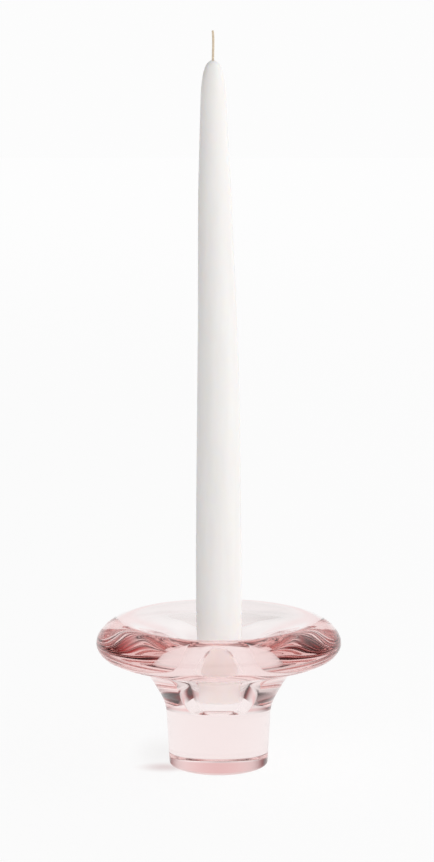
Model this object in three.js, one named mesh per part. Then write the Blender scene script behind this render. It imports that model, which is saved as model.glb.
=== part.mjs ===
// Tinted glass candlestick with a broad rounded dish, carrying one tapered dinner candle.
// Millimetres, +Z up. The origin is the centre of the flat base, on the surface that the holder stands on.
import * as THREE from 'three';

// ---- driving dimensions -------------------------------------------------------------------------
const BASE_FACE_R = 22.7;        // flat underside of the base, inside its edge radius
const BASE_R = 24.1;             // foot of the solid glass stem
const FLOOR_Z = 29.3;            // bottom of the candle socket
const FLOOR_R = 8.0;             // flat part of the socket floor
const RIM_R = 59.4;              // widest part of the dish
const GLASS_SIDES = 56;          // facets round the holder
const GLASS_STEPS = 42;          // steps along the outside curve of the holder
const SOCKET_STEPS = 9;          // steps down the socket wall

const CANDLE_LENGTH = 302.6;     // 12 inch taper
const CANDLE_FOOT_R = 9.7;       // narrowed foot that drops into the socket
const CANDLE_FOOT_Z = 37.2;      // height of the candle's flat foot when it stands in the socket
const CANDLE_OFFSET_X = 0.5;     // the foot stands this far off the socket's axis
const CANDLE_LEAN_DEG = 0.6;     // the candle leans towards -X
const CANDLE_BOW = 0.95;         // and is bowed this far towards +X in its middle
const CANDLE_SIDES = 32;

const WICK_R = 0.65;
const WICK_GAP = 0.3;            // room round the wick in its channel
const WICK_START = 1.5;          // the wick begins this far above the candle's foot
const WICK_FREE = 13.95;         // bare wick above the wax

// ---- helpers ------------------------------------------------------------------------------------
// A body of revolution about Z from a closed or axis-to-axis outline of [radius, height] pairs.
function revolve(outline, sides) {
  const points = outline.map(([r, z]) => new THREE.Vector2(r, z));
  const geometry = new THREE.LatheGeometry(points, sides);
  geometry.rotateX(Math.PI / 2);
  return geometry;
}

// Points at even steps along a smooth curve through the knots.
function smooth(knots, steps) {
  const curve = new THREE.SplineCurve(knots.map(([r, z]) => new THREE.Vector2(r, z)));
  curve.arcLengthDivisions = 2000;
  return curve.getSpacedPoints(steps).map((p) => [p.x, p.y]);
}

function standard(name, colour, roughness, extra = {}) {
  return new THREE.MeshStandardMaterial({ name, color: new THREE.Color(...colour), roughness, metalness: 0, ...extra });
}

// ---- glass holder -------------------------------------------------------------------------------
// Outside curve: base edge, near-upright stem, flare under the dish, rounded rim, crest, then down the
// inside of the dish to the mouth of the socket.
const outside = smooth([
  [BASE_R, 1.5], [24.35, 6.1], [24.6, 10.9], [24.85, 15.6], [25.1, 20.3], [25.35, 25.0], [25.95, 29.7],
  [27.7, 34.1], [30.0, 38.2], [32.4, 42.3], [35.1, 46.2], [38.4, 49.5], [42.5, 51.6], [47.2, 52.5],
  [51.9, 53.3], [56.3, 55.0], [59.2, 58.6], [RIM_R - 0.3, 62.4], [56.5, 66.3], [52.7, 69.3], [48.3, 71.2],
  [43.7, 71.2], [39.2, 69.9], [34.7, 68.5], [30.1, 67.1], [25.7, 65.4], [21.6, 63.0], [18.2, 60.2],
  [15.8, 57.0], [14.2, 53.4],
], GLASS_STEPS);
// Socket: narrows with depth, so that a candle's foot wedges near the bottom.
const socket = smooth([
  [14.2, 53.4], [13.2, 49.0], [12.5, 44.5], [11.8, 40.0], [11.0, 36.5], [9.9, 33.2], [8.9, 30.6], [FLOOR_R, FLOOR_Z],
], SOCKET_STEPS).slice(1);

const glassOutline = [
  [0, 0], [BASE_FACE_R, 0], [BASE_FACE_R + 0.7, 0.2], [BASE_FACE_R + 1.2, 0.7],
  ...outside, ...socket, [0, FLOOR_Z],
];
const glass = new THREE.Mesh(
  revolve(glassOutline, GLASS_SIDES),
  standard('pink_glass', [0.93, 0.72, 0.72], 0.05, { transparent: true, opacity: 0.4 }),
);
glass.name = 'glass_holder';

// ---- taper candle -------------------------------------------------------------------------------
// Heights are measured from the candle's foot, along its own axis. The wick's channel runs right through.
const channel = WICK_R + WICK_GAP;
const top = CANDLE_LENGTH;
const bow = (z) => CANDLE_BOW * Math.exp(-(((z - 155) / 75) ** 2));
const channelHeights = [256, 232, 209, 194, 180, 167, 155, 142, 130, 117, 103, 84, 64, 38];
const candleOutline = [
  [channel, 0], [CANDLE_FOOT_R - 0.7, 0], [CANDLE_FOOT_R - 0.1, 0.5], [CANDLE_FOOT_R, 1.2],
  [9.8, 8.0], [10.0, 14.0], [10.5, 21.0], [10.95, 29.0], [11.05, 40.0], [11.0, 64.0], [10.83, 84.0],
  [10.65, 103.0], [10.42, 122.0], [10.15, 142.0], [9.75, 161.0], [9.28, 180.0], [8.95, 194.0], [8.6, 209.0],
  [8.3, 222.0], [7.93, 237.0], [7.6, 246.5], [7.2, 256.0], [6.55, 272.0], [6.05, 284.2], [5.8, 288.9],
  [5.39, 292.6], [4.88, 295.9], [4.31, 298.2], [3.66, 300.05], [3.0, top - 1.4], [2.3, top - 0.65],
  [1.4, top - 0.1], [channel, top],
  ...channelHeights.map((z) => [channel, z]), [channel, 0],
];
const candleGeometry = revolve(candleOutline, CANDLE_SIDES);
const wax = candleGeometry.attributes.position;
for (let i = 0; i < wax.count; i += 1) wax.setX(i, wax.getX(i) + bow(wax.getZ(i)));
const candleMesh = new THREE.Mesh(
  candleGeometry,
  standard('white_wax', [0.93, 0.92, 0.89], 0.5),
);
candleMesh.name = 'taper_candle';

// ---- wick ---------------------------------------------------------------------------------------
// Follows its channel, with a slight bend where it stands bare above the wax.
const section = new THREE.Shape();
for (let i = 0; i < 8; i += 1) {
  const a = (i / 8) * Math.PI * 2;
  const x = WICK_R * Math.cos(a);
  const y = WICK_R * Math.sin(a);
  if (i === 0) section.moveTo(x, y); else section.lineTo(x, y);
}
section.closePath();
const wickHeights = [WICK_START, 38, 64, 84, 103, 117, 130, 142, 155, 167, 180, 194, 209, 232, 256, 280];
const wickPath = new THREE.CatmullRomCurve3([
  ...wickHeights.map((z) => new THREE.Vector3(bow(z), 0, z)),
  new THREE.Vector3(bow(top), 0, top + 0.5), new THREE.Vector3(0.12, 0, top + 4),
  new THREE.Vector3(0.25, 0.1, top + 8.5), new THREE.Vector3(0.05, 0, top + WICK_FREE),
], false, 'centripetal');
const wick = new THREE.Mesh(
  new THREE.ExtrudeGeometry(section, { steps: 40, bevelEnabled: false, extrudePath: wickPath }),
  standard('cotton_wick', [0.86, 0.78, 0.66], 0.9),
);
wick.name = 'cotton_wick';

// ---- assembly -----------------------------------------------------------------------------------
const candle = new THREE.Group();
candle.add(candleMesh, wick);
candle.position.set(CANDLE_OFFSET_X, 0, CANDLE_FOOT_Z);
candle.rotation.y = -THREE.MathUtils.degToRad(CANDLE_LEAN_DEG);

const group = new THREE.Group();
group.add(glass, candle);

export default group;
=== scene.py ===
import math
import random

import bpy
import numpy as np
from mathutils import Matrix, Vector


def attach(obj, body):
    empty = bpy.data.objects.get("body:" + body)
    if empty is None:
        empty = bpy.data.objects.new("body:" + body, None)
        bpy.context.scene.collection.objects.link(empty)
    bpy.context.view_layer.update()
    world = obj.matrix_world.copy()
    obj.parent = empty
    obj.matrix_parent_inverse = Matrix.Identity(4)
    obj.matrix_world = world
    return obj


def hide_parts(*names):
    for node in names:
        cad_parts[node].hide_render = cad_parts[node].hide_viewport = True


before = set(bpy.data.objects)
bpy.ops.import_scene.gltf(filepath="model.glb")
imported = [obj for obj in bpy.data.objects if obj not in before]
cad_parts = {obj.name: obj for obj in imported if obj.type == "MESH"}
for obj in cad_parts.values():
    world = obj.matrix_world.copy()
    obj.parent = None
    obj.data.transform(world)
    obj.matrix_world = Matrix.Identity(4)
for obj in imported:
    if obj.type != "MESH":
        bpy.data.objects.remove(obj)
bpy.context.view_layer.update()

scene = bpy.context.scene
MM = 0.001

# ---- sizes, in millimetres, the same as the CAD part ---------------------------------------------
FLOOR_Z = 29.3
FLOOR_R = 8.0
CANDLE_LENGTH = 302.6
CANDLE_FOOT_Z = 37.2
CANDLE_OFFSET_X = 0.5
CANDLE_LEAN_DEG = 0.6
CANDLE_BOW = 0.95
WICK_R = 0.65
WICK_FREE = 13.95


# ---- curve helpers ------------------------------------------------------------------------------
def catmull(knots, n):
    """n + 1 evenly spaced points on a smooth curve through the knots."""
    k = np.array(knots, float)
    last = len(k) - 1
    out = []
    steps = 60
    for i in range(last):
        p0, p1, p2, p3 = k[max(i - 1, 0)], k[i], k[i + 1], k[min(i + 2, last)]
        v0, v1 = (p2 - p0) * 0.5, (p3 - p1) * 0.5
        for j in range(steps):
            w = j / steps
            out.append((2 * p1 - 2 * p2 + v0 + v1) * w**3 + (-3 * p1 + 3 * p2 - 2 * v0 - v1) * w**2 + v0 * w + p1)
    out.append(k[-1])
    out = np.array(out)
    return resample(out, n)


def resample(pts, n):
    s = np.concatenate([[0], np.cumsum(np.linalg.norm(np.diff(pts, axis=0), axis=1))])
    u = np.linspace(0, s[-1], n + 1)
    return np.stack([np.interp(u, s, pts[:, c]) for c in range(pts.shape[1])], 1)


def fair(pts, sigma):
    """Evens out a curve's turning without shrinking it: its direction is smoothed, and the curve drawn again."""
    d = np.diff(pts, axis=0)
    ds = np.linalg.norm(d, axis=1)
    ang = np.unwrap(np.arctan2(d[:, 1], d[:, 0]))
    step = ds.mean()
    half = int(4 * sigma / step)
    x = np.arange(-half, half + 1) * step
    g = np.exp(-0.5 * (x / sigma) ** 2)
    g /= g.sum()
    pad = np.concatenate([np.full(half, ang[0]), ang, np.full(half, ang[-1])])
    ang = np.convolve(pad, g, "valid")
    new = np.vstack([[0, 0], np.cumsum(np.stack([np.cos(ang), np.sin(ang)], 1) * ds[:, None], axis=0)]) + pts[0]
    drift = pts[-1] - new[-1]
    return new + np.linspace(0, 1, len(new))[:, None] * drift


def mesh_object(name, verts, faces, material=None, smooth=True):
    me = bpy.data.meshes.new(name)
    me.from_pydata([tuple(v) for v in verts], [], faces)
    me.update()
    if smooth:
        me.polygons.foreach_set("use_smooth", [True] * len(me.polygons))
    ob = bpy.data.objects.new(name, me)
    scene.collection.objects.link(ob)
    if material:
        me.materials.append(material)
    return ob


def lathe(profile, sides, shift=None):
    """Closed body of revolution about Z. shift(r, z, angle) -> (r, z) makes small departures from true."""
    verts, faces, rings = [], [], []
    for r, z in profile:
        if r < 1e-6:
            rings.append([len(verts)])
            verts.append((0.0, 0.0, z * MM))
            continue
        start = len(verts)
        rings.append(list(range(start, start + sides)))
        for i in range(sides):
            a = 2 * math.pi * i / sides
            rr, zz = shift(r, z, a) if shift else (r, z)
            verts.append((rr * math.cos(a) * MM, rr * math.sin(a) * MM, zz * MM))
    for low, high in zip(rings[:-1], rings[1:]):
        if len(low) == 1 and len(high) == 1:
            continue
        for i in range(sides):
            j = (i + 1) % sides
            if len(low) == 1:
                faces.append((low[0], high[j], high[i]))
            elif len(high) == 1:
                faces.append((low[i], low[j], high[0]))
            else:
                faces.append((low[i], low[j], high[j], high[i]))
    return verts, faces


def node(nt, kind, **values):
    n = nt.nodes.new(kind)
    for k, v in values.items():
        if k.startswith("in_"):
            n.inputs[k[3:].replace("_", " ")].default_value = v
        else:
            setattr(n, k, v)
    return n


# ---- glass --------------------------------------------------------------------------------------
def glass_material():
    m = bpy.data.materials.new("pink_glass_clear")
    m.use_nodes = True
    nt = m.node_tree
    b = nt.nodes["Principled BSDF"]
    b.inputs["Base Color"].default_value = (1.0, 1.0, 1.0, 1.0)
    b.inputs["Transmission Weight"].default_value = 1.0
    b.inputs["Roughness"].default_value = 0.0
    b.inputs["IOR"].default_value = 1.52
    v = nt.nodes.new("ShaderNodeVolumeAbsorption")
    v.inputs["Color"].default_value = (0.84, 0.385, 0.35, 1.0)
    v.inputs["Density"].default_value = 6.0
    nt.links.new(v.outputs["Volume"], nt.nodes["Material Output"].inputs["Volume"])
    return m


OUTSIDE = [
    (24.1, 1.5), (24.35, 6.1), (24.6, 10.9), (24.85, 15.6), (25.1, 20.3), (25.35, 25.0), (25.95, 29.7),
    (27.7, 34.1), (30.0, 38.2), (32.4, 42.3), (35.1, 46.2), (38.4, 49.5), (42.5, 51.6), (47.2, 52.5),
    (51.9, 53.3), (56.3, 55.0), (59.2, 58.6), (59.1, 62.4), (56.5, 66.3), (52.7, 69.3), (48.3, 71.2),
    (43.7, 71.2), (39.2, 69.9), (34.7, 68.5), (30.1, 67.1), (25.7, 65.4), (21.6, 63.0), (18.2, 60.2),
    (15.8, 57.0), (14.2, 53.4), (13.2, 49.0), (12.5, 44.5), (11.8, 40.0), (11.0, 36.5), (9.9, 33.2), (8.9, 30.6),
    (FLOOR_R, FLOOR_Z),
]


def glass_profile():
    body = fair(catmull(OUTSIDE, 420), 1.6)
    edge = [(22.6 + 1.5 * math.sin(t), 1.5 - 1.5 * math.cos(t)) for t in np.linspace(0, math.pi / 2, 9)[:-1]]
    edge = [(r * 1.0, z) for r, z in edge]
    base = [(0.0, 0.0), (6.0, 0.0), (12.0, 0.0), (18.0, 0.0)]
    floor = [(FLOOR_R * k, FLOOR_Z) for k in (0.66, 0.33)] + [(0.0, FLOOR_Z)]
    return base + edge + [tuple(p) for p in body] + floor


def glass_shift(r, z, a):
    """Slight waviness of hand-worked glass, in the dish and its rim only."""
    t = min(max((z - 42.0) / 12.0, 0.0), 1.0)
    t = t * t * (3 - 2 * t)
    w = 0.05 * math.sin(3 * a + 0.9) + 0.035 * math.sin(7 * a + r * 0.21 + 2.1) + 0.02 * math.sin(13 * a - r * 0.35 + 0.4)
    u = 0.05 * math.sin(2 * a + 2.4) + 0.03 * math.sin(5 * a - r * 0.17 + 5.0) + 0.018 * math.sin(11 * a + r * 0.4)
    return r + w * t, z + u * t


glass_mat = glass_material()
verts, faces = lathe(glass_profile(), 288, glass_shift)
glass = mesh_object("glass_body", verts, faces, glass_mat)
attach(glass, "holder")
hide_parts("glass_holder")


# ---- candle -------------------------------------------------------------------------------------
LEAN = Matrix.Translation(Vector((CANDLE_OFFSET_X * MM, 0, CANDLE_FOOT_Z * MM))) @ Matrix.Rotation(
    -math.radians(CANDLE_LEAN_DEG), 4, "Y"
)


def wax_material():
    m = bpy.data.materials.new("white_wax_soft")
    m.use_nodes = True
    nt = m.node_tree
    b = nt.nodes["Principled BSDF"]
    b.inputs["IOR"].default_value = 1.44
    b.inputs["Subsurface Weight"].default_value = 0.6
    b.inputs["Subsurface Radius"].default_value = (1.0, 0.85, 0.7)
    b.inputs["Subsurface Scale"].default_value = 0.004
    b.inputs["Specular IOR Level"].default_value = 0.4
    tc = nt.nodes.new("ShaderNodeTexCoord")
    mp = node(nt, "ShaderNodeMapping")
    mp.inputs["Scale"].default_value = (1.0, 1.0, 0.12)
    nt.links.new(tc.outputs["Object"], mp.inputs["Vector"])
    n1 = node(nt, "ShaderNodeTexNoise", in_Scale=160.0, in_Detail=4.0, in_Roughness=0.55)
    nt.links.new(mp.outputs["Vector"], n1.inputs["Vector"])
    ramp = nt.nodes.new("ShaderNodeValToRGB")
    ramp.color_ramp.elements[0].position = 0.3
    ramp.color_ramp.elements[0].color = (0.890, 0.872, 0.852, 1)
    ramp.color_ramp.elements[1].position = 0.7
    ramp.color_ramp.elements[1].color = (0.938, 0.922, 0.905, 1)
    nt.links.new(n1.outputs["Fac"], ramp.inputs["Fac"])
    nt.links.new(ramp.outputs["Color"], b.inputs["Base Color"])
    n2 = node(nt, "ShaderNodeTexNoise", in_Scale=520.0, in_Detail=3.0, in_Roughness=0.5)
    nt.links.new(tc.outputs["Object"], n2.inputs["Vector"])
    rr = node(nt, "ShaderNodeMapRange")
    rr.inputs["To Min"].default_value = 0.42
    rr.inputs["To Max"].default_value = 0.56
    nt.links.new(n2.outputs["Fac"], rr.inputs["Value"])
    nt.links.new(rr.outputs["Result"], b.inputs["Roughness"])
    bump = nt.nodes.new("ShaderNodeBump")
    bump.inputs["Strength"].default_value = 0.12
    bump.inputs["Distance"].default_value = 0.0003
    nt.links.new(n1.outputs["Fac"], bump.inputs["Height"])
    nt.links.new(bump.outputs["Normal"], b.inputs["Normal"])
    return m


CANDLE_SIDE = [
    (9.7, 1.2), (9.8, 8.0), (10.0, 14.0), (10.5, 21.0), (10.95, 29.0), (11.05, 40.0), (11.0, 64.0), (10.83, 84.0),
    (10.65, 103.0), (10.42, 122.0), (10.15, 142.0), (9.75, 161.0), (9.28, 180.0), (8.95, 194.0), (8.6, 209.0),
    (8.3, 222.0), (7.93, 237.0), (7.6, 246.5), (7.2, 256.0), (6.55, 272.0), (6.05, 284.2), (5.8, 288.9),
    (5.39, 292.6), (4.88, 295.9), (4.31, 298.2), (3.66, 300.05),
    (3.0, CANDLE_LENGTH - 1.4), (2.3, CANDLE_LENGTH - 0.65), (1.7, CANDLE_LENGTH - 0.22),
]


def candle_profile():
    side = fair(catmull(CANDLE_SIDE, 620), 1.0)
    hole = WICK_R + 0.08
    foot = [(hole, 0.6), (hole + 0.3, 0.15), (hole + 0.8, 0.0), (5.0, 0.0), (8.2, 0.0), (9.0, 0.05), (9.4, 0.3), (9.62, 0.7)]
    tip = [(1.3, CANDLE_LENGTH - 0.06), (1.0, CANDLE_LENGTH - 0.01), (hole, CANDLE_LENGTH - 0.15), (hole, CANDLE_LENGTH - 1.0)]
    return foot + [tuple(p) for p in side] + tip + [(hole, CANDLE_LENGTH * 0.5), (hole, 0.6)]


def ring_loft(profile, sides, centre):
    """Closed loop of rings about Z that starts and ends on the same ring."""
    verts, faces = [], []
    prof = profile[:-1]
    for r, z in prof:
        cx, cy = centre(z)
        for i in range(sides):
            a = 2 * math.pi * i / sides
            k = 1 + 0.0035 * math.sin(2 * a + z * 0.013) + 0.002 * math.sin(3 * a - z * 0.031 + 1.0)
            if r < 2:
                k = 1
            verts.append(((cx + r * k * math.cos(a)) * MM, (cy + r * k * math.sin(a)) * MM, z * MM))
    n = len(prof)
    for q in range(n):
        w = (q + 1) % n
        for i in range(sides):
            j = (i + 1) % sides
            faces.append((q * sides + i, q * sides + j, w * sides + j, w * sides + i))
    return verts, faces


def candle_centre(z):
    """The dipped wax is bowed a little, and very slightly uneven along its length."""
    free = min(z / 60.0, 1.0)
    bow = CANDLE_BOW * math.exp(-(((z - 155) / 75) ** 2))
    return bow + 0.06 * math.sin(z * 0.021 + 0.5) * free, 0.05 * math.sin(z * 0.017 + 2.0) * free


wax_mat = wax_material()
verts, faces = ring_loft(candle_profile(), 96, candle_centre)
candle = mesh_object("candle_wax", verts, faces, wax_mat)
candle.data.transform(LEAN)
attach(candle, "candle")
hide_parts("taper_candle")


# ---- wick ---------------------------------------------------------------------------------------
def cotton_material():
    m = bpy.data.materials.new("wick_braided_cotton")
    m.use_nodes = True
    nt = m.node_tree
    b = nt.nodes["Principled BSDF"]
    b.inputs["Roughness"].default_value = 0.9
    b.inputs["Sheen Weight"].default_value = 0.3
    tc = nt.nodes.new("ShaderNodeTexCoord")
    mp = node(nt, "ShaderNodeMapping")
    mp.inputs["Scale"].default_value = (1.0, 1.0, 0.35)
    nt.links.new(tc.outputs["Object"], mp.inputs["Vector"])
    n1 = node(nt, "ShaderNodeTexNoise", in_Scale=2600.0, in_Detail=3.0, in_Roughness=0.6)
    nt.links.new(mp.outputs["Vector"], n1.inputs["Vector"])
    ramp = nt.nodes.new("ShaderNodeValToRGB")
    ramp.color_ramp.elements[0].position = 0.25
    ramp.color_ramp.elements[0].color = (0.62, 0.49, 0.34, 1)
    ramp.color_ramp.elements[1].position = 0.75
    ramp.color_ramp.elements[1].color = (0.86, 0.75, 0.59, 1)
    nt.links.new(n1.outputs["Fac"], ramp.inputs["Fac"])
    nt.links.new(ramp.outputs["Color"], b.inputs["Base Color"])
    bump = nt.nodes.new("ShaderNodeBump")
    bump.inputs["Strength"].default_value = 0.5
    bump.inputs["Distance"].default_value = 0.0001
    nt.links.new(n1.outputs["Fac"], bump.inputs["Height"])
    nt.links.new(bump.outputs["Normal"], b.inputs["Normal"])
    return m


def wick_mesh():
    """Three plied strands that cross over each other along the wick, as one mesh of closed tubes."""
    path = catmull(
        [(0.02, 0, CANDLE_LENGTH - 12), (0, 0, CANDLE_LENGTH - 6), (0, 0, CANDLE_LENGTH), (0.12, 0, CANDLE_LENGTH + 4),
         (0.25, 0.1, CANDLE_LENGTH + 8.5), (0.2, 0.05, CANDLE_LENGTH + 11.5), (0.05, 0, CANDLE_LENGTH + WICK_FREE)],
        150,
    )
    verts, faces = [], []
    for strand in range(3):
        ph = strand * 2 * math.pi / 3
        pts = []
        for p in path:
            s = p[2] - CANDLE_LENGTH
            t = s * 1.9 + ph
            off = np.array([0.27 * math.sin(t), 0.20 * math.sin(2 * t), 0.0])
            pts.append(p + off)
        pts = np.array(pts)
        base = len(verts)
        sides = 8
        n = len(pts)
        for q in range(n):
            tan = pts[min(q + 1, n - 1)] - pts[max(q - 1, 0)]
            tan /= np.linalg.norm(tan)
            ux = np.cross(tan, [0, 1, 0]); ux /= np.linalg.norm(ux)
            uy = np.cross(tan, ux)
            end = min(q, n - 1 - q) / 3.0
            rad = 0.33 * (min(1.0, 0.45 + 0.55 * end))
            for i in range(sides):
                a = 2 * math.pi * i / sides
                verts.append((pts[q] + ux * rad * math.cos(a) + uy * rad * math.sin(a)) * MM)
        for q in range(n - 1):
            for i in range(sides):
                j = (i + 1) % sides
                faces.append((base + q * sides + i, base + q * sides + j, base + (q + 1) * sides + j, base + (q + 1) * sides + i))
        faces.append(tuple(base + i for i in reversed(range(sides))))
        faces.append(tuple(base + (n - 1) * sides + i for i in range(sides)))
    return verts, faces


cotton_mat = cotton_material()
verts, faces = wick_mesh()
wick = mesh_object("wick_braid", verts, faces, cotton_mat)
wick.data.transform(LEAN)
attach(wick, "candle")
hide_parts("cotton_wick")


# ---- stage --------------------------------------------------------------------------------------
def floor_material():
    m = bpy.data.materials.new("pale_floor")
    m.use_nodes = True
    nt = m.node_tree
    nt.nodes.remove(nt.nodes["Principled BSDF"])
    d = nt.nodes.new("ShaderNodeBsdfDiffuse")
    d.inputs["Color"].default_value = (0.08, 0.08, 0.08, 1)
    e = nt.nodes.new("ShaderNodeEmission")
    e.inputs["Color"].default_value = (1, 1, 1, 1)
    e.inputs["Strength"].default_value = 0.906
    # painted soft shadow behind and to the left of the foot, and a painted pink-tinged shadow of the glass where it
    # meets it, both put into the floor's emission colour
    tc = nt.nodes.new("ShaderNodeTexCoord")
    shade = None
    for centre, reach, rgb in (
        ((-0.027, 0.018, 0), (0.020, 0.042), (0.925, 0.918, 0.915)),
        ((-0.026, -0.008, 0), (0.017, 0.011), (0.80, 0.70, 0.70)),
    ):
        mp = node(nt, "ShaderNodeMapping", vector_type="TEXTURE")
        mp.inputs["Location"].default_value = centre
        mp.inputs["Scale"].default_value = (reach[0], reach[1], 1)
        nt.links.new(tc.outputs["Object"], mp.inputs["Vector"])
        g = node(nt, "ShaderNodeTexGradient", gradient_type="SPHERICAL")
        nt.links.new(mp.outputs["Vector"], g.inputs["Vector"])
        soft = node(nt, "ShaderNodeMapRange", interpolation_type="SMOOTHSTEP")
        nt.links.new(g.outputs["Fac"], soft.inputs["Value"])
        mix = node(nt, "ShaderNodeMix", data_type="RGBA", blend_type="MIX")
        mix.inputs[6].default_value = (1, 1, 1, 1)
        mix.inputs[7].default_value = (*rgb, 1)
        nt.links.new(soft.outputs["Result"], mix.inputs[0])
        if shade is None:
            shade = mix.outputs[2]
        else:
            both = node(nt, "ShaderNodeMix", data_type="RGBA", blend_type="MULTIPLY")
            both.inputs[0].default_value = 1.0
            nt.links.new(shade, both.inputs[6])
            nt.links.new(mix.outputs[2], both.inputs[7])
            shade = both.outputs[2]
    nt.links.new(shade, e.inputs["Color"])
    add = nt.nodes.new("ShaderNodeAddShader")
    nt.links.new(d.outputs[0], add.inputs[0])
    nt.links.new(e.outputs[0], add.inputs[1])
    nt.links.new(add.outputs[0], nt.nodes["Material Output"].inputs["Surface"])
    return m


S = 8.0
floor = mesh_object("floor", [(-S, -S, -0.0002), (S, -S, -0.0002), (S, S, -0.0002), (-S, S, -0.0002)], [(0, 1, 2, 3)], floor_material(), False)

world = bpy.data.worlds.new("studio")
scene.world = world
world.use_nodes = True
world.node_tree.nodes["Background"].inputs[0].default_value = (1, 1, 1, 1)
world.node_tree.nodes["Background"].inputs[1].default_value = 0.975


def sky_colour(azimuth, elevation):
    """Studio round the object: white, less a few soft dark zones. Azimuth 0 is behind the object, +90 to its right."""
    out = []
    for channel, white in ((0, 0.93), (1, 0.98)):
        v = white
        for az, el, w, h, *depth in SKY_DARK:
            da = (azimuth - az + 180) % 360 - 180
            v -= depth[channel] * math.exp(-((da / w) ** 2) - ((elevation - el) / h) ** 2)
        out.append(0.02 + 0.03 * math.log1p(math.exp(min((v - 0.02) / 0.03, 60.0))))
    return out[0], out[1], out[1]


# azimuth, elevation, half width, half height (degrees), and how much red and how much green and blue it takes away
SKY_DARK = [
    (88, 15, 30, 42, 0.98, 1.3),
    (127, 10, 24, 14, 0.1, 0.5),
    (-97, 10, 33, 26, 0.85, 1.25),
    (-139, 9, 26, 16, 0.65, 0.95),
    (-60, 12, 20, 16, 0.6, 0.7),
    (-85, 60, 38, 21, 0.93, 1.0),
    (2, 15, 52, 7.5, 0.05, 0.36),
    (-3, 39, 16, 13, 0.6, 0.65),
    (172, 28, 50, 11, 0.95, 1.1),
    (82, 55, 31, 20, 0.47, 0.77),
    (39, 35, 19, 15, -0.25, -0.25),
]


def sky_dome(radius):
    """Half-sphere of studio surroundings that the glass shows and reflects; it casts no light on the rest."""
    verts, faces, colours = [], [], []
    n_az, n_el = 144, 45
    for j in range(n_el + 1):
        el = 90.0 * j / n_el
        for i in range(n_az):
            az = -180 + 360.0 * i / n_az
            a, e = math.radians(az), math.radians(el)
            verts.append((radius * math.sin(a) * math.cos(e), radius * math.cos(a) * math.cos(e), radius * math.sin(e)))
            colours.append((*sky_colour(az, el), 1.0))
    for j in range(n_el):
        for i in range(n_az):
            k = (i + 1) % n_az
            faces.append((j * n_az + i, j * n_az + k, (j + 1) * n_az + k, (j + 1) * n_az + i))
    m = bpy.data.materials.new("studio_surround")
    m.use_nodes = True
    nt = m.node_tree
    nt.nodes.remove(nt.nodes["Principled BSDF"])
    e = nt.nodes.new("ShaderNodeEmission")
    at = node(nt, "ShaderNodeAttribute", attribute_name="sky")
    # what lights the wax through the glass is the plain white studio, not the dark zones
    path = node(nt, "ShaderNodeLightPath")
    mix = node(nt, "ShaderNodeMix", data_type="RGBA", blend_type="MIX")
    mix.inputs[7].default_value = (0.98, 0.98, 0.98, 1)
    nt.links.new(path.outputs["Diffuse Depth"], mix.inputs[0])
    nt.links.new(at.outputs["Color"], mix.inputs[6])
    nt.links.new(mix.outputs[2], e.inputs["Color"])
    nt.links.new(e.outputs[0], nt.nodes["Material Output"].inputs["Surface"])
    ob = mesh_object("sky_dome", verts, faces, m)
    layer = ob.data.color_attributes.new("sky", "FLOAT_COLOR", "POINT")
    layer.data.foreach_set("color", [c for col in colours for c in col])
    ob.visible_camera = False
    ob.visible_diffuse = False
    ob.visible_shadow = False
    return ob


def light_card(name, azimuth, elevation, width_deg, height_deg, colour, distance):
    """A grey studio card that only shades the candle and the floor: the glass does not show it."""
    az, el = math.radians(azimuth), math.radians(elevation)
    d = Vector((math.sin(az) * math.cos(el), math.cos(az) * math.cos(el), math.sin(el)))
    centre = Vector((0, 0, 0.06)) + d * distance
    right = d.cross(Vector((0, 0, 1))).normalized()
    up = right.cross(d).normalized()
    w = distance * math.tan(math.radians(width_deg / 2))
    h = distance * math.tan(math.radians(height_deg / 2))
    vs = [centre - right * w - up * h, centre + right * w - up * h, centre + right * w + up * h, centre - right * w + up * h]
    m = bpy.data.materials.new(name)
    m.use_nodes = True
    nt = m.node_tree
    nt.nodes.remove(nt.nodes["Principled BSDF"])
    e = nt.nodes.new("ShaderNodeEmission")
    e.inputs["Color"].default_value = (*colour, 1)
    nt.links.new(e.outputs[0], nt.nodes["Material Output"].inputs["Surface"])
    ob = mesh_object(name, vs, [(0, 1, 2, 3)], m, False)
    ob.visible_camera = False
    ob.visible_shadow = False
    ob.visible_glossy = False
    ob.visible_transmission = False
    return ob


sky_dome(2.4)
light_card("card_left", -86, 34, 95, 84, (0.15, 0.145, 0.15), 1.9)

key = bpy.data.lights.new("key", "AREA")
key.shape = "RECTANGLE"
key.size = 0.9
key.size_y = 1.1
key.energy = 2.6
key_ob = bpy.data.objects.new("key", key)
key_ob.location = (1.5, -0.1, 0.9)
key_ob.rotation_euler = (Vector((0, 0, 0.12)) - key_ob.location).to_track_quat("-Z", "Y").to_euler()
scene.collection.objects.link(key_ob)
key_ob.visible_glossy = False
key_ob.visible_transmission = False

scene.view_settings.view_transform = "Standard"
scene.cycles.max_bounces = 48
scene.cycles.transmission_bounces = 48
scene.cycles.glossy_bounces = 32
scene.cycles.diffuse_bounces = 12
scene.cycles.blur_glossy = 0.0
scene.cycles.transparent_max_bounces = 16

# ---- camera -------------------------------------------------------------------------------------
F_PX = 2500.0
PX = 0.48 * MM
TILT = math.radians(8.34)
cam = bpy.data.cameras.new("camera")
cam_ob = bpy.data.objects.new("camera", cam)
scene.collection.objects.link(cam_ob)
cam.sensor_width = 36.0
cam.lens = 36.0 * F_PX / 862.0
cam.clip_start = 0.05
cam.clip_end = 60.0
dist = F_PX * PX
cam_ob.location = (-1.6 * PX, -dist * math.cos(TILT), 341.4 * PX + dist * math.sin(TILT))
cam_ob.rotation_euler = (math.pi / 2 - TILT, 0, 0)
scene.camera = cam_ob
